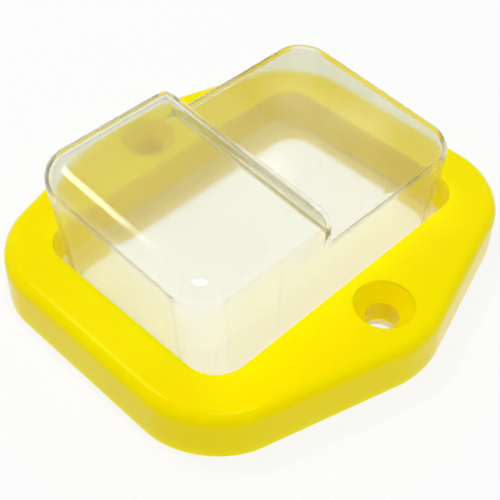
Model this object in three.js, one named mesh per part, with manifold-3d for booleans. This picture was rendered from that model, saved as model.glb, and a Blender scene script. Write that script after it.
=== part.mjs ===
// Splash cover for a panel switch: a rigid frame that two countersunk screws hold to a panel, and a
// clear soft boot with a high and a low crown, whose flange the frame clamps. The buttons are pressed
// through the crowns. Millimetres, +Z up: the underside is at z = 0, the screws lie along X and the
// window is long in Y.
import * as THREE from 'three';
import { mergeVertices } from 'three/addons/utils/BufferGeometryUtils.js';
import Module from 'manifold-3d';

const wasm = await Module();
wasm.setup();

// Frame: a hexagon with flat ends and two blunt tips, one beside each screw
const frameLength = 74.8; // between the flat ends
const frameTipWidth = 72.8; // tip to tip, at sharp corners
const frameHeight = 8.6;
const screwFromTip = 9.3; // screw axis to the tip's sharp corner
const windowFromScrew = 6.7; // screw axis to the window's side
const windowFromEnd = 8.3; // flat end to the window
const endCornerBeyondWindow = 4.7; // how much further out than the window's side an end corner is
const frameEndRadius = 14.4; // rounds the four end corners
const frameTipRadius = 15.2; // rounds the two tips
const frameEdgeRadius = 2; // rounds the outer top edge
const frameDraft = 0.15; // how far the outer wall leans in from bottom to top

const windowRadius = 5.7;
const windowEdgeRadius = 0.5; // rounds the window's top edge

// Two screws, M5 countersunk
const screwHoleDiameter = 5.3;
const screwHeadDiameter = 9.6;
const screwHeadLand = 0.4; // straight wall above the countersink's cone
const screwConeDepth = 2.5;

// Recess under the frame, which takes the boot's flange
const rimWidth = 3; // frame rim left around the recess

// Boot
const flangeThickness = 1.5;
const flangeClearance = 0.4; // flange edge to recess wall
const flangeHeadroom = 0.3; // flange to the recess's ceiling
const flangeHoleClearance = 0.5; // around the screw hole, per side
const bootWall = 1;
const bootSideGap = 2.5; // boot wall to window at the frame's top face, at the two long sides
const bootEndGap = 0.3; // the same at the two ends
const bootSideLean = 0.025; // how far each long wall leans out, per mm of height
const bootEndLean = 0.085; // the same for the two end walls
const bootCornerRadius = 6;
const highCrownHeight = 26.3; // above the underside, at the middle of its width
const highCrownEdgeRadius = 3.8; // rounds its top edge, apart from the step's
const lowCrownHeight = 19.4;
const lowCrownEdgeRadius = 1.6;
const crownDrop = 3.1; // both crown tops fall by this from the -X side to the +X side
const stepPlace = -2.5; // Y of the step's upright face
const stepCornerRadius = 1.5; // the high crown's two upright corners at the step
const stepEdgeRadius = 3.6; // rounds the step's top edge
const sharpestCorner = 0.3; // a corner keeps this radius where a rounded edge has used the rest up

const arcSteps = 8; // facets on each rounded corner
const edgeSteps = 5; // facets on each rounded edge
const holeSegments = 40;
const overrun = 1; // cutting tools reach this far past the faces they cut

const screwSpacing = frameTipWidth - 2 * screwFromTip;
const windowWidth = screwSpacing - 2 * windowFromScrew;
const windowLength = frameLength - 2 * windowFromEnd;
const frameEndWidth = windowWidth + 2 * endCornerBeyondWindow; // at sharp corners
const recessDepth = flangeThickness + flangeHeadroom;
const bootHalfWidth = windowWidth / 2 - bootSideGap;
const bootHalfLength = windowLength / 2 - bootEndGap;

// Points around a convex outline, counter-clockwise, whose corners [x, y, radius] are rounded by
// arcs tangent to their two sides
function roundedLoop(corners) {
  return corners.flatMap(([x, y, radius], index) => {
    const corner = new THREE.Vector2(x, y);
    const neighbours = [corners.at(index - 1), corners[(index + 1) % corners.length]];
    const [back, ahead] = neighbours.map(([nx, ny]) => new THREE.Vector2(nx, ny).sub(corner).normalize());
    const halfAngle = back.angleTo(ahead) / 2;
    const centre = back.clone().add(ahead).setLength(radius / Math.sin(halfAngle)).add(corner);
    const start = back.clone().multiplyScalar(radius / Math.tan(halfAngle)).add(corner).sub(centre);
    return Array.from({ length: arcSteps + 1 }, (_, step) => {
      const turn = (Math.PI - 2 * halfAngle) * (step / arcSteps);
      return start.clone().rotateAround(new THREE.Vector2(), turn).add(centre);
    });
  });
}

// The frame's outline with every side moved inwards by inset
function frameLoop(inset) {
  const taper = (frameTipWidth - frameEndWidth) / frameLength;
  const halfLength = frameLength / 2 - inset;
  const halfTip = frameTipWidth / 2 - inset * Math.hypot(1, taper);
  const halfEnd = halfTip - taper * halfLength;
  const endRadius = frameEndRadius - inset;
  const tipRadius = frameTipRadius - inset;
  return roundedLoop([
    [halfTip, 0, tipRadius],
    [halfEnd, halfLength, endRadius],
    [-halfEnd, halfLength, endRadius],
    [-halfTip, 0, tipRadius],
    [-halfEnd, -halfLength, endRadius],
    [halfEnd, -halfLength, endRadius],
  ]);
}

// A rounded rectangle from -halfWidth to halfWidth and from startY to endY
function boxLoop(halfWidth, startY, endY, startRadius, endRadius) {
  return roundedLoop([
    [halfWidth, endY, endRadius],
    [-halfWidth, endY, endRadius],
    [-halfWidth, startY, startRadius],
    [halfWidth, startY, startRadius],
  ]);
}

// Joins loops of equal length, given from the bottom up as [loop, height at each of its points]
function loft(levels) {
  const count = levels[0][0].length;
  const positions = levels.flatMap(([loop, heightAt]) =>
    loop.flatMap((point) => [point.x, point.y, heightAt(point)]));
  const triangles = [];
  for (let level = 0; level < levels.length - 1; level++) {
    for (let i = 0; i < count; i++) {
      const here = level * count + i;
      const next = level * count + ((i + 1) % count);
      triangles.push(here, next, next + count, here, next + count, here + count);
    }
  }
  const top = (levels.length - 1) * count;
  for (let i = 1; i < count - 1; i++) {
    triangles.push(0, i + 1, i);
    triangles.push(top, top + i, top + i + 1);
  }
  const geometry = new THREE.BufferGeometry();
  geometry.setAttribute('position', new THREE.Float32BufferAttribute(positions, 3));
  geometry.setIndex(triangles);
  return solidOf(geometry);
}

// Quarter-round steps of a given radius: [distance in from the wall, distance below the top]
function quarterRound(radius) {
  return Array.from({ length: edgeSteps + 1 }, (_, step) => {
    const angle = (step / edgeSteps) * (Math.PI / 2);
    return [radius * (1 - Math.cos(angle)), radius * (1 - Math.sin(angle))];
  });
}

function solidOf(geometry) {
  const bare = geometry.clone();
  bare.deleteAttribute('normal');
  bare.deleteAttribute('uv');
  const merged = mergeVertices(bare);
  const vertProperties = new Float32Array(merged.attributes.position.array);
  const triVerts = new Uint32Array(merged.index.array);
  return new wasm.Manifold(new wasm.Mesh({ numProp: 3, vertProperties, triVerts }));
}

function meshOf(name, solid, material) {
  const { vertProperties, triVerts } = solid.getMesh();
  const geometry = new THREE.BufferGeometry();
  geometry.setAttribute('position', new THREE.BufferAttribute(vertProperties, 3));
  geometry.setIndex(new THREE.BufferAttribute(triVerts, 1));
  geometry.computeVertexNormals();
  const mesh = new THREE.Mesh(geometry, material);
  mesh.name = name;
  return mesh;
}

// A solid turned about the Z axis from a profile of [radius, height] that starts and ends on the axis
function turned(profile) {
  const points = profile.map(([radius, height]) => new THREE.Vector2(radius, height));
  const geometry = new THREE.LatheGeometry(points, holeSegments);
  geometry.rotateX(Math.PI / 2);
  return solidOf(geometry);
}

function atBothScrews(solid) {
  return solid.translate([screwSpacing / 2, 0, 0]).add(solid.translate([-screwSpacing / 2, 0, 0]));
}

function buildFrame() {
  const wall = [0, frameHeight - frameEdgeRadius];
  const levels = wall.map((height) => [frameLoop(frameDraft * (height / frameHeight)), () => height]);
  for (const [inset, below] of quarterRound(frameEdgeRadius).slice(1)) {
    const height = frameHeight - below;
    levels.push([frameLoop(frameDraft * (height / frameHeight) + inset), () => height]);
  }
  return loft(levels).subtract(windowTool()).subtract(recessTool()).subtract(atBothScrews(screwTool()));
}

function windowTool() {
  const loopWithMargin = (margin) => {
    const halfLength = windowLength / 2 + margin;
    const radius = windowRadius + margin;
    return boxLoop(windowWidth / 2 + margin, -halfLength, halfLength, radius, radius);
  };
  const levels = [[loopWithMargin(0), () => -overrun]];
  for (const [inset, below] of quarterRound(windowEdgeRadius)) {
    levels.push([loopWithMargin(inset), () => frameHeight - below]);
  }
  levels.push([loopWithMargin(windowEdgeRadius), () => frameHeight + overrun]);
  return loft(levels);
}

function recessTool() {
  return loft([[frameLoop(rimWidth), () => -overrun], [frameLoop(rimWidth), () => recessDepth]]);
}

function screwTool() {
  const coneTop = frameHeight - screwHeadLand;
  return turned([
    [0, -overrun],
    [screwHoleDiameter / 2, -overrun],
    [screwHoleDiameter / 2, coneTop - screwConeDepth],
    [screwHeadDiameter / 2, coneTop],
    [screwHeadDiameter / 2, frameHeight + overrun],
    [0, frameHeight + overrun],
  ]);
}

// How far in from a wall its rounded top edge is, at a depth below the top
function roundedInset(radius, below) {
  return below < radius ? radius - Math.sqrt(radius ** 2 - (radius - below) ** 2) : 0;
}

// One crown: walls up from the bottom, a rounded edge and a top that slopes across X. It runs from
// the boot's -Y end to endY. within is how far its faces lie inside the boot's outer ones.
function crown(bottom, within, { topHeight, edgeRadius, endY, endLean, endCornerRadius, endEdgeRadius }) {
  const slope = crownDrop / (2 * bootHalfWidth);
  const loopAt = (height, below) => {
    const lean = height - frameHeight;
    const inset = within + roundedInset(edgeRadius - within, below);
    const endInset = within + roundedInset(Math.max(endEdgeRadius - within, 0), below);
    return boxLoop(
      bootHalfWidth + bootSideLean * lean - inset,
      inset - bootHalfLength - bootEndLean * lean,
      endY + endLean * lean - endInset,
      Math.max(bootCornerRadius - inset, sharpestCorner),
      Math.max(endCornerRadius - inset, sharpestCorner),
    );
  };
  const levels = [[loopAt(bottom, topHeight), () => bottom]];
  for (const [, below] of quarterRound(edgeRadius - within)) {
    const height = topHeight - within - below;
    levels.push([loopAt(height, below), (point) => height - slope * point.x]);
  }
  return loft(levels);
}

function bootSpace(bottom, within) {
  const high = crown(bottom, within, {
    topHeight: highCrownHeight,
    edgeRadius: highCrownEdgeRadius,
    endY: stepPlace,
    endLean: 0,
    endCornerRadius: stepCornerRadius,
    endEdgeRadius: stepEdgeRadius,
  });
  const low = crown(bottom, within, {
    topHeight: lowCrownHeight,
    edgeRadius: lowCrownEdgeRadius,
    endY: bootHalfLength,
    endLean: bootEndLean,
    endCornerRadius: bootCornerRadius,
    endEdgeRadius: lowCrownEdgeRadius,
  });
  return high.add(low);
}

function buildBoot() {
  const flangeLoop = frameLoop(rimWidth + flangeClearance);
  const flange = loft([[flangeLoop, () => 0], [flangeLoop, () => flangeThickness]]);
  const holeRadius = screwHoleDiameter / 2 + flangeHoleClearance;
  const hole = turned([
    [0, -overrun],
    [holeRadius, -overrun],
    [holeRadius, flangeThickness + overrun],
    [0, flangeThickness + overrun],
  ]);
  return flange
    .add(bootSpace(0, 0))
    .subtract(bootSpace(-overrun, bootWall))
    .subtract(atBothScrews(hole));
}

const yellowPlastic = new THREE.MeshStandardMaterial({ color: 0xf2dc00, roughness: 0.3, metalness: 0 });
const clearSoftPlastic = new THREE.MeshStandardMaterial({
  color: 0xe6ebe8,
  roughness: 0.12,
  metalness: 0,
  transparent: true,
  opacity: 0.35,
});

const cover = new THREE.Group();
cover.add(meshOf('frame', buildFrame(), yellowPlastic));
cover.add(meshOf('boot', buildBoot(), clearSoftPlastic));

export default cover;
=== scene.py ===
import math
import bmesh
import bpy
from mathutils import Matrix, Vector


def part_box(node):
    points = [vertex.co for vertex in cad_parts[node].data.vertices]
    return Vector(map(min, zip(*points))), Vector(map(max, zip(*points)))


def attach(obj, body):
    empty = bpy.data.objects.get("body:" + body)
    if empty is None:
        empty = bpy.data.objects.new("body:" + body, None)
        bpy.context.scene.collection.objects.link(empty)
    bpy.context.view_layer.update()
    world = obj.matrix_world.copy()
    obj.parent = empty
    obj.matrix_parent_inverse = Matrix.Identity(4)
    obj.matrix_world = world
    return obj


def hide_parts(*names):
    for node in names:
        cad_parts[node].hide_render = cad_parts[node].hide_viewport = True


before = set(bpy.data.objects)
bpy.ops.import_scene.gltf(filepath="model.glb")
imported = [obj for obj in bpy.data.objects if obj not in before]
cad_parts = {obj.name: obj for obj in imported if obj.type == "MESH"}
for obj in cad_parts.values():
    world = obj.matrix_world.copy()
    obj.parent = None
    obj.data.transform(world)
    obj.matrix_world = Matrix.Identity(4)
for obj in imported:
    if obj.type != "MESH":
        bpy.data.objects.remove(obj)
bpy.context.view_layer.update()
mm = 0.001
near = 0.02 * mm  # two heights closer than this count as one
print("frame loaded")


def makeActive(piece):
    bpy.ops.object.select_all(action="DESELECT")
    piece.select_set(True)
    bpy.context.view_layer.objects.active = piece


def nameActive(name):
    piece = bpy.context.object
    piece.name = name
    piece.data.name = name
    return piece


def startEdit(piece, selectMode):  # with everything selected
    makeActive(piece)
    bpy.ops.object.mode_set(mode="EDIT")
    bpy.ops.mesh.select_mode(type=selectMode)
    bpy.ops.mesh.select_all(action="SELECT")


def endEdit():
    bpy.ops.object.mode_set(mode="OBJECT")


def pick(piece, kind, wanted):  # kind is verts, edges or faces
    bpy.ops.mesh.select_mode(type={"verts": "VERT", "edges": "EDGE", "faces": "FACE"}[kind])
    bpy.ops.mesh.select_all(action="DESELECT")
    mesh = bmesh.from_edit_mesh(piece.data)
    for item in getattr(mesh, kind):
        if wanted(item):
            item.select_set(True)
    mesh.select_flush_mode()
    bmesh.update_edit_mesh(piece.data)


def allNear(item, axis, value):
    return all(abs(vert.co[axis] - value) < near for vert in item.verts)


def isUpright(edge):  # or at least not level
    return abs(edge.verts[0].co.z - edge.verts[1].co.z) > near


def extrudeUp(height):
    bpy.ops.mesh.extrude_region_move(TRANSFORM_OT_translate={"value": (0, 0, height)})


def resize(x, y, z):  # about the origin
    bpy.ops.transform.resize(value=(x, y, z), center_override=(0, 0, 0))


def bevelEdges(radius, segments):
    bpy.ops.mesh.bevel(offset=radius, segments=segments, profile=0.5, affect="EDGES")


def facesOutward():
    bpy.ops.mesh.select_all(action="SELECT")
    bpy.ops.mesh.normals_make_consistent(inside=False)


def combine(piece, tool, operation):
    makeActive(piece)
    boolean = piece.modifiers.new("boolean", "BOOLEAN")
    boolean.operation = operation
    boolean.solver = "EXACT"
    boolean.object = tool
    bpy.ops.object.modifier_apply(modifier=boolean.name)
    bpy.data.objects.remove(tool)


def smoothFinish(piece, angle):
    makeActive(piece)
    bpy.ops.object.shade_smooth_by_angle(angle=math.radians(angle))
    weighted = piece.modifiers.new("weighted", "WEIGHTED_NORMAL")
    weighted.keep_sharp = True
    bpy.ops.object.modifier_apply(modifier=weighted.name)


# outline shared by the rigid frame and the boot's flange
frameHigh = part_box("frame")[1]
outline = {
    "halfLength": frameHigh.y,
    "tipHalfWidth": frameHigh.x + 0.75 * mm,  # at the tip's sharp corner
    "endHalfWidth": 25.1 * mm,
    "endRounding": 10.7 * mm,  # from a sharp corner to where its curve starts
    "tipRounding": 4.6 * mm,
    "endSegments": 16,
    "tipSegments": 10,
}


def addHexagon(name):  # flat, at the underside, facing down
    bpy.ops.mesh.primitive_circle_add(vertices=6, radius=1, fill_type="NGON", rotation=(0, 0, math.pi / 2))
    bpy.ops.object.transform_apply(rotation=True)
    piece = nameActive(name)
    startEdit(piece, "VERT")
    resize(outline["tipHalfWidth"], outline["halfLength"] / math.sin(math.pi / 3), 1)
    pick(piece, "verts", lambda vert: abs(vert.co.y) > near)
    resize(outline["endHalfWidth"] / (outline["tipHalfWidth"] / 2), 1, 1)
    bpy.ops.mesh.bevel(offset=outline["endRounding"], segments=outline["endSegments"], affect="VERTICES")
    pick(piece, "verts", lambda vert: abs(vert.co.y) < near)
    bpy.ops.mesh.bevel(offset=outline["tipRounding"], segments=outline["tipSegments"], affect="VERTICES")
    endEdit()
    return piece


screws = {
    "x": 27.1 * mm,
    "holeRadius": 2.65 * mm,
    "headRadius": 4.8 * mm,
    "headLand": 0.4 * mm,  # straight wall above the cone
    "coneDepth": 2.5 * mm,
    "segments": 64,
}


def addScrewTool(name, bottom, steps):  # steps are (radius, height), upwards
    firstRadius = steps[0][0]
    bpy.ops.mesh.primitive_circle_add(
        vertices=screws["segments"], radius=firstRadius, fill_type="NGON", location=(0, 0, bottom))
    bpy.ops.object.transform_apply(location=True)
    tool = nameActive(name)
    startEdit(tool, "FACE")
    radius, height = firstRadius, bottom
    for nextRadius, nextHeight in steps:
        extrudeUp(nextHeight - height)
        resize(nextRadius / radius, nextRadius / radius, 1)
        radius, height = nextRadius, nextHeight
    facesOutward()
    endEdit()
    return tool


def cutBothHoles(piece, tool):  # the second is a copy of the first
    makeActive(tool)
    bpy.ops.object.duplicate()
    otherTool = bpy.context.object
    tool.location.x = screws["x"]
    otherTool.location.x = -screws["x"]
    combine(piece, tool, "DIFFERENCE")
    combine(piece, otherTool, "DIFFERENCE")


window = {
    "halfWidth": 20.4 * mm,
    "halfLength": 29.1 * mm,
    "cornerRadius": 5.7 * mm,
    "segments": 14,
}

yellowFrame = {
    "height": frameHigh.z,
    "draft": 0.15 * mm,
    "edgeRadius": 2 * mm,
    "edgeSegments": 10,
    "rim": 3 * mm,
    "recess": 1.8 * mm,
    "smallEdge": 0.35 * mm,  # every other edge
    "smallEdgeSegments": 3,
    "smallEdgeAngle": 28,  # degrees, and what is flatter stays
    "smoothAngle": 30,
}


def addWindowTool():
    bpy.ops.mesh.primitive_cube_add(size=2)
    tool = nameActive("windowTool")
    startEdit(tool, "EDGE")
    resize(window["halfWidth"], window["halfLength"], 3 * yellowFrame["height"])
    pick(tool, "edges", isUpright)
    bevelEdges(window["cornerRadius"], window["segments"])
    endEdit()
    return tool


def buildFrame():
    height = yellowFrame["height"]
    piece = addHexagon("coverFrame")
    startEdit(piece, "FACE")
    extrudeUp(height)
    leanIn = 1 - yellowFrame["draft"] / outline["tipHalfWidth"]
    resize(leanIn, leanIn, 1)
    facesOutward()
    pick(piece, "edges", lambda edge: allNear(edge, 2, height))
    bevelEdges(yellowFrame["edgeRadius"], yellowFrame["edgeSegments"])
    pick(piece, "faces", lambda face: allNear(face, 2, 0))
    bpy.ops.mesh.inset(thickness=yellowFrame["rim"])
    extrudeUp(yellowFrame["recess"])
    facesOutward()
    endEdit()
    combine(piece, addWindowTool(), "DIFFERENCE")
    coneTop = height - screws["headLand"]
    holeTool = addScrewTool("screwTool", -height, [
        (screws["holeRadius"], coneTop - screws["coneDepth"]),
        (screws["headRadius"], coneTop),
        (screws["headRadius"], 2 * height),
    ])
    cutBothHoles(piece, holeTool)
    makeActive(piece)
    softEdges = piece.modifiers.new("softEdges", "BEVEL")
    softEdges.limit_method = "ANGLE"
    softEdges.angle_limit = math.radians(yellowFrame["smallEdgeAngle"])
    softEdges.width = yellowFrame["smallEdge"]
    softEdges.segments = yellowFrame["smallEdgeSegments"]
    bpy.ops.object.modifier_apply(modifier=softEdges.name)
    smoothFinish(piece, yellowFrame["smoothAngle"])
    return piece


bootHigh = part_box("boot")[1]
boot = {
    "halfWidth": 17.9 * mm,  # outside, at the frame's top face
    "halfLength": 28.8 * mm,
    "cornerRadius": 6 * mm,
    "sideLean": 0.025,  # outwards, per unit of height
    "endLean": 0.085,
    "lowTop": 19.4 * mm,
    "highTop": bootHigh.z - 1.28 * mm,  # halfway down its slope
    "drop": 3.1 * mm,  # of both tops, across the width
    "step": -2.5 * mm,  # Y of the step's upright face
    "highEdge": 3.8 * mm,
    "stepEdge": 3.6 * mm,
    "stepSide": 1.5 * mm,
    "stepFoot": 2.2 * mm,
    "lowEdge": 1.6 * mm,
    "wall": 1 * mm,
    "cornerSegments": 16,
    "edgeSegments": 14,
    "flange": 1.5 * mm,
    "flangeInset": 3.4 * mm,  # from the frame's outline
    "flangeHoleRadius": 3.15 * mm,
    "hollowBottom": -3 * mm,  # below the underside, so that the hollow is open there
    "levelBand": 0.3 * mm,  # verts this close to a crown's slope belong to it
    "smoothAngle": 35,
}


def leanLevel(piece, height):  # one height's verts move out to where the walls lean
    rise = height - yellowFrame["height"]
    atLevel = lambda vert: abs(vert.co.z - height) < near
    pick(piece, "verts", atLevel)
    resize(1 + boot["sideLean"] * rise / boot["halfWidth"], 1, 1)
    for side in (-1, 1):
        pick(piece, "verts", lambda vert: atLevel(vert) and vert.co.y * side > boot["halfLength"] / 2)
        bpy.ops.transform.translate(value=(0, side * boot["endLean"] * rise, 0))


def slopeLevel(piece, height):  # rotate turns the other way here
    pick(piece, "verts", lambda vert: abs(vert.co.z - height) < near)
    slope = math.atan(boot["drop"] / (2 * boot["halfWidth"]))
    resize(1 / math.cos(slope), 1, 1)
    bpy.ops.transform.rotate(value=-slope, orient_axis="Y", center_override=(0, 0, height))


def markEdges(piece, share, wanted):  # share of the widest rounding
    mesh = bmesh.from_edit_mesh(piece.data)
    layers = mesh.edges.layers.float
    weights = layers.get("bevel_weight_edge") or layers.new("bevel_weight_edge")
    for edge in mesh.edges:
        if wanted(edge):
            edge[weights] = share
    bmesh.update_edit_mesh(piece.data)


def buildBootForm(name, inset, bottom):  # solid, once for the outside and once for the hollow
    lowTop, highTop, step = boot["lowTop"] - inset, boot["highTop"] - inset, boot["step"] - inset
    widest = boot["highEdge"] - inset
    bpy.ops.mesh.primitive_cube_add(size=2)
    piece = nameActive(name)
    startEdit(piece, "EDGE")
    resize(boot["halfWidth"] - inset, boot["halfLength"] - inset, (lowTop - bottom) / 2)
    bpy.ops.transform.translate(value=(0, 0, (lowTop + bottom) / 2))
    pick(piece, "edges", isUpright)
    bevelEdges(boot["cornerRadius"] - inset, boot["cornerSegments"])
    bpy.ops.mesh.select_all(action="SELECT")
    bpy.ops.mesh.bisect(plane_co=(0, step, 0), plane_no=(0, 1, 0))
    pick(piece, "faces", lambda face: allNear(face, 2, lowTop) and face.calc_center_median().y < step)
    extrudeUp(highTop - lowTop)
    for height in (bottom, lowTop, highTop):
        leanLevel(piece, height)
    for height in (lowTop, highTop):
        slopeLevel(piece, height)

    levelOf = lambda vert: vert.co.z + vert.co.x * boot["drop"] / (2 * boot["halfWidth"])
    isHigh = lambda vert: abs(levelOf(vert) - highTop) < boot["levelBand"]
    isLow = lambda vert: abs(levelOf(vert) - lowTop) < boot["levelBand"]
    onStep = lambda vert: abs(vert.co.y - step) < near
    both = lambda test, edge: all(test(vert) for vert in edge.verts)
    either = lambda test, edge: any(test(vert) for vert in edge.verts)
    beyond = lambda edge: all(vert.co.y > step - near for vert in edge.verts)
    markEdges(piece, 1, lambda edge: both(isHigh, edge) and not both(onStep, edge))
    markEdges(piece, (boot["stepEdge"] - inset) / widest,
              lambda edge: both(isHigh, edge) and both(onStep, edge))
    markEdges(piece, (boot["stepSide"] - inset) / widest,
              lambda edge: both(onStep, edge) and either(isHigh, edge) and either(isLow, edge))
    markEdges(piece, (boot["stepFoot"] + inset) / widest,
              lambda edge: both(isLow, edge) and both(onStep, edge))
    markEdges(piece, (boot["lowEdge"] - inset) / widest,
              lambda edge: both(isLow, edge) and beyond(edge) and not both(onStep, edge))
    facesOutward()
    endEdit()

    rounding = piece.modifiers.new("rounding", "BEVEL")
    rounding.limit_method = "WEIGHT"
    rounding.width = widest
    rounding.segments = boot["edgeSegments"]
    rounding.use_clamp_overlap = False
    bpy.ops.object.modifier_apply(modifier=rounding.name)
    return piece


def buildBoot():
    piece = buildBootForm("clearBoot", 0, 0)
    hollow = buildBootForm("bootHollow", boot["wall"], boot["hollowBottom"])
    combine(piece, hollow, "DIFFERENCE")
    combine(piece, buildFlange(), "UNION")
    smoothFinish(piece, boot["smoothAngle"])
    return piece


def buildFlange():
    flange = addHexagon("bootFlange")
    startEdit(flange, "FACE")
    bpy.ops.mesh.inset(thickness=boot["flangeInset"])
    pick(flange, "faces", lambda face: len(face.verts) == 4)
    bpy.ops.mesh.delete(type="FACE")
    bpy.ops.mesh.select_all(action="SELECT")
    extrudeUp(boot["flange"])
    facesOutward()
    endEdit()
    middle = {  # halfway into the boot's wall
        "halfWidth": boot["halfWidth"] - boot["sideLean"] * yellowFrame["height"] - boot["wall"] / 2,
        "halfLength": boot["halfLength"] - boot["endLean"] * yellowFrame["height"] - boot["wall"] / 2,
    }
    bpy.ops.mesh.primitive_cube_add(size=2)
    tool = nameActive("flangeTool")
    startEdit(tool, "EDGE")
    resize(middle["halfWidth"], middle["halfLength"], 3 * boot["flange"])
    pick(tool, "edges", isUpright)
    bevelEdges(boot["cornerRadius"] - boot["wall"] / 2, boot["cornerSegments"])
    endEdit()
    combine(flange, tool, "DIFFERENCE")
    wholeHole = [(boot["flangeHoleRadius"], 3 * boot["flange"])]
    cutBothHoles(flange, addScrewTool("flangeHoleTool", -boot["flange"], wholeHole))
    return flange


coverFrame = buildFrame()
print("frame modelled")
clearBoot = buildBoot()
print("boot modelled")


def newMaterial(name):
    material = bpy.data.materials.new(name)
    material.use_nodes = True
    nodes = material.node_tree.nodes
    return material, nodes, material.node_tree.links, nodes["Principled BSDF"]


yellowFinish = {
    "colour": (0.92, 0.75, 0.0, 1),
    "paleColour": (0.93, 0.78, 0.0, 1),
    "cloudLevels": (0.35, 0.7),  # noise where each colour is reached
    "cloudSize": 90,  # per metre
    "roughness": 0.15,
    "ior": 1.5,
    "gloss": 0.1,
    "glossTint": (1, 1, 0.15, 1),
    "grainSize": 2600,
    "grainHeight": 0.008 * mm,
    "grainStrength": 0.5,
    "lightShare": 0.6,  # of the light, spread inside
    "lightSpread": (1, 0.7, 0.03),
    "lightDepth": 5 * mm,
}

clearFinish = {
    "flangeColour": (0.84, 0.72, 0.28, 1),  # painted yellow bounce light and painted shade from the frame on top of it
    # painted warm bounce light from the yellow frame, on the lower walls
    "lowerColour": (0.90, 0.875, 0.67, 1),
    # partly the plastic's own tint, partly painted shade: darkened so that the floor seen through the
    # crown looks shaded
    "crownColour": (0.87, 0.873, 0.76, 1),
    "levels": (0.06, 0.09, 0.75),  # where each colour is reached, as shares of the boot's height
    "roughness": 0.19,
    "ior": 1.14,
    "passes": 0.988,  # the rest scatters as a faint milkiness
    "coat": 0.65,
    "coatRoughness": 0.1,
    "rippleSize": 75,  # per metre
    "rippleHeight": 0.03 * mm,
    "dustSpacing": 130,
    "dustRarity": 0.6,  # share of the cells left clean
    "dustEdge": (0.014, 0.03),  # from solid to nothing, in cell units
    "dustColour": (0.12, 0.11, 0.08, 1),
    "scratchSize": 900,
    "scratchStretch": (1, 1, 0.04),
    "scratchLevels": (0.66, 0.74),
    "scratchStrength": 0.5,
    "scratchColour": (0.80, 0.79, 0.66, 1),
}


def addNoise(material, vector, size, detail):
    noise = material.node_tree.nodes.new("ShaderNodeTexNoise")
    noise.inputs["Scale"].default_value = size
    noise.inputs["Detail"].default_value = detail
    material.node_tree.links.new(vector, noise.inputs["Vector"])
    return noise.outputs["Fac"]


def addBump(material, height, distance, strength):
    bump = material.node_tree.nodes.new("ShaderNodeBump")
    bump.inputs["Strength"].default_value = strength
    bump.inputs["Distance"].default_value = distance
    material.node_tree.links.new(height, bump.inputs["Height"])
    return bump.outputs["Normal"]


def paintOver(material, share, below, colour):
    mix = material.node_tree.nodes.new("ShaderNodeMix")
    mix.data_type = "RGBA"
    mix.inputs["B"].default_value = colour
    material.node_tree.links.new(share, mix.inputs["Factor"])
    material.node_tree.links.new(below, mix.inputs["A"])
    return mix.outputs["Result"]


def yellowPlastic():
    material, nodes, links, shader = newMaterial("yellowPlastic")
    shader.inputs["Roughness"].default_value = yellowFinish["roughness"]
    shader.inputs["IOR"].default_value = yellowFinish["ior"]
    shader.inputs["Specular IOR Level"].default_value = yellowFinish["gloss"]
    shader.inputs["Specular Tint"].default_value = yellowFinish["glossTint"]
    shader.inputs["Subsurface Weight"].default_value = yellowFinish["lightShare"]
    shader.inputs["Subsurface Radius"].default_value = yellowFinish["lightSpread"]
    shader.inputs["Subsurface Scale"].default_value = yellowFinish["lightDepth"]
    place = nodes.new("ShaderNodeTexCoord").outputs["Object"]
    tint = nodes.new("ShaderNodeValToRGB")
    colours = ("colour", "paleColour")
    for stop, level, colour in zip(tint.color_ramp.elements, yellowFinish["cloudLevels"], colours):
        stop.position = level
        stop.color = yellowFinish[colour]
    links.new(addNoise(material, place, yellowFinish["cloudSize"], 3), tint.inputs["Fac"])
    links.new(tint.outputs["Color"], shader.inputs["Base Color"])
    grain = addNoise(material, place, yellowFinish["grainSize"], 2)
    bump = addBump(material, grain, yellowFinish["grainHeight"], yellowFinish["grainStrength"])
    links.new(bump, shader.inputs["Normal"])
    return material


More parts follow.
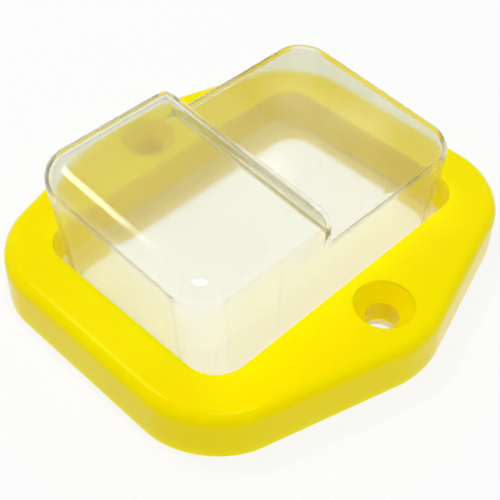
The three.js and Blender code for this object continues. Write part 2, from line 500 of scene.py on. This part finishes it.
def clearSoftPlastic():
    material, nodes, links, shader = newMaterial("clearSoftPlastic")
    shader.inputs["Roughness"].default_value = clearFinish["roughness"]
    shader.inputs["IOR"].default_value = clearFinish["ior"]
    shader.inputs["Transmission Weight"].default_value = clearFinish["passes"]
    shader.inputs["Coat Weight"].default_value = clearFinish["coat"]
    shader.inputs["Coat Roughness"].default_value = clearFinish["coatRoughness"]
    place = nodes.new("ShaderNodeTexCoord").outputs["Object"]

    # painted warm bounce light from the yellow frame, stronger towards the foot of the walls, with painted
    # shade at the flange
    height = nodes.new("ShaderNodeSeparateXYZ")
    links.new(place, height.inputs["Vector"])
    share = nodes.new("ShaderNodeMath")
    share.operation = "DIVIDE"
    share.inputs[1].default_value = bootHigh.z
    links.new(height.outputs["Z"], share.inputs[0])
    paintedBounce = nodes.new("ShaderNodeValToRGB")
    paintedBounce.color_ramp.interpolation = "EASE"
    stops = paintedBounce.color_ramp.elements
    stops.new(0.5)
    colours = ("flangeColour", "lowerColour", "crownColour")
    for stop, level, colour in zip(stops, clearFinish["levels"], colours):
        stop.position = level
        stop.color = clearFinish[colour]
    links.new(share.outputs["Value"], paintedBounce.inputs["Fac"])

    # fine upright rub marks
    stretch = nodes.new("ShaderNodeMapping")
    stretch.inputs["Scale"].default_value = clearFinish["scratchStretch"]
    links.new(place, stretch.inputs["Vector"])
    scratches = addNoise(material, stretch.outputs["Vector"], clearFinish["scratchSize"], 1)
    thinOut = nodes.new("ShaderNodeMapRange")
    thinOut.inputs["From Min"].default_value = clearFinish["scratchLevels"][0]
    thinOut.inputs["From Max"].default_value = clearFinish["scratchLevels"][1]
    thinOut.inputs["To Max"].default_value = clearFinish["scratchStrength"]
    links.new(scratches, thinOut.inputs["Value"])
    marks = thinOut.outputs["Result"]
    rubbed = paintOver(material, marks, paintedBounce.outputs["Color"], clearFinish["scratchColour"])

    # a few specks of dust, in one cell out of several
    cells = nodes.new("ShaderNodeTexVoronoi")
    cells.inputs["Scale"].default_value = clearFinish["dustSpacing"]
    links.new(place, cells.inputs["Vector"])
    chance = nodes.new("ShaderNodeSeparateColor")
    links.new(cells.outputs["Color"], chance.inputs["Color"])
    chosen = nodes.new("ShaderNodeMath")
    chosen.operation = "GREATER_THAN"
    chosen.inputs[1].default_value = clearFinish["dustRarity"]
    links.new(chance.outputs["Red"], chosen.inputs[0])
    speck = nodes.new("ShaderNodeMapRange")
    speck.inputs["From Min"].default_value = clearFinish["dustEdge"][0]
    speck.inputs["From Max"].default_value = clearFinish["dustEdge"][1]
    speck.inputs["To Min"].default_value = 1
    speck.inputs["To Max"].default_value = 0
    links.new(cells.outputs["Distance"], speck.inputs["Value"])
    dust = nodes.new("ShaderNodeMath")
    dust.operation = "MULTIPLY"
    links.new(speck.outputs["Result"], dust.inputs[0])
    links.new(chosen.outputs["Value"], dust.inputs[1])
    dusted = paintOver(material, dust.outputs["Value"], rubbed, clearFinish["dustColour"])
    links.new(dusted, shader.inputs["Base Color"])

    # soft ripples left by the mould
    ripples = addNoise(material, place, clearFinish["rippleSize"], 1)
    bump = addBump(material, ripples, clearFinish["rippleHeight"], 1)
    links.new(bump, shader.inputs["Normal"])
    links.new(bump, shader.inputs["Coat Normal"])
    return material


coverFrame.data.materials.append(yellowPlastic())
clearBoot.data.materials.append(clearSoftPlastic())
clearBoot.visible_shadow = False  # so that the lamps shine through it

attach(coverFrame, "root")
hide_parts("frame")
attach(clearBoot, "root")
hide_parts("boot")

paleFloor = {
    "size": 8,
    "height": -0.02 * mm,  # just clear of the underside
    "colour": (0.2, 0.2, 0.2, 1),
    "roughness": 0.8,
    "gloss": 0.1,
    "glow": 0.77,  # keeps it near white
}


def addFloor():
    bpy.ops.mesh.primitive_plane_add(size=paleFloor["size"], location=(0, 0, paleFloor["height"]))
    floor = nameActive("floor")
    material, nodes, links, shader = newMaterial("paleFloor")
    shader.inputs["Base Color"].default_value = paleFloor["colour"]
    shader.inputs["Roughness"].default_value = paleFloor["roughness"]
    shader.inputs["Specular IOR Level"].default_value = paleFloor["gloss"]
    shader.inputs["Emission Color"].default_value = (1, 1, 1, 1)
    shader.inputs["Emission Strength"].default_value = paleFloor["glow"]
    floor.data.materials.append(material)
    return floor


addFloor()


def direction(azimuth, elevation):
    turn, rise = math.radians(azimuth), math.radians(elevation)
    return Vector((math.sin(turn) * math.cos(rise), -math.cos(turn) * math.cos(rise), math.sin(rise)))


softLights = {  # azimuth, elevation, distance, width, height and power
    "stripLight": (-92, 60, 0.6, 0.27, 0.12, 0.92),
    "lowBackStrip": (-150, 44.5, 0.6, 0.09, 0.008, 0.012),
    "highBackStrip": (-145.5, 49.4, 0.6, 0.022, 0.008, 0.006),
    "topLight": (80, 80, 0.5, 0.16, 0.16, 0.78),
}
for name, (azimuth, elevation, distance, width, height, power) in softLights.items():
    towards = direction(azimuth, elevation)
    bpy.ops.object.light_add(type="AREA", location=towards * distance)
    light = bpy.context.object
    light.name = name
    light.rotation_euler = towards.to_track_quat("Z", "Y").to_euler()
    light.data.shape = "RECTANGLE"
    light.data.size, light.data.size_y = width, height
    light.data.energy = power

surround = {"colour": (1, 1, 1, 1), "strength": 0.48}
scene = bpy.context.scene
world = bpy.data.worlds.new("studio")
scene.world = world
world.use_nodes = True
background = world.node_tree.nodes["Background"]
background.inputs["Color"].default_value = surround["colour"]
background.inputs["Strength"].default_value = surround["strength"]
scene.cycles.use_denoising = True
scene.cycles.max_bounces = 24  # the boot's walls are crossed many times
scene.cycles.transmission_bounces = 20
scene.view_settings.view_transform = "Standard"

view = {
    "azimuth": 43.63,
    "elevation": 46.55,
    "roll": 1.48,
    "distance": 169.4 * mm,
    "aim": Vector((1.04, -2.47, 2.62)) * mm,
    "lens": 73.1,
    "sensorWidth": 36,
    "clipStart": 0.01,
}
backward = direction(view["azimuth"], view["elevation"])
turn = math.radians(view["azimuth"])
level = Vector((math.cos(turn), math.sin(turn), 0))
upward = backward.cross(level)
roll = math.radians(view["roll"])
right = level * math.cos(roll) + upward * math.sin(roll)
up = upward * math.cos(roll) - level * math.sin(roll)
bpy.ops.object.camera_add()
camera = bpy.context.object
camera.name = "camera"
placement = Matrix((right, up, backward)).transposed().to_4x4()
placement.translation = view["aim"] + backward * view["distance"]
camera.matrix_world = placement
camera.data.lens = view["lens"]
camera.data.sensor_width = view["sensorWidth"]
camera.data.clip_start = view["clipStart"]
scene.camera = camera
print("light and camera placed")
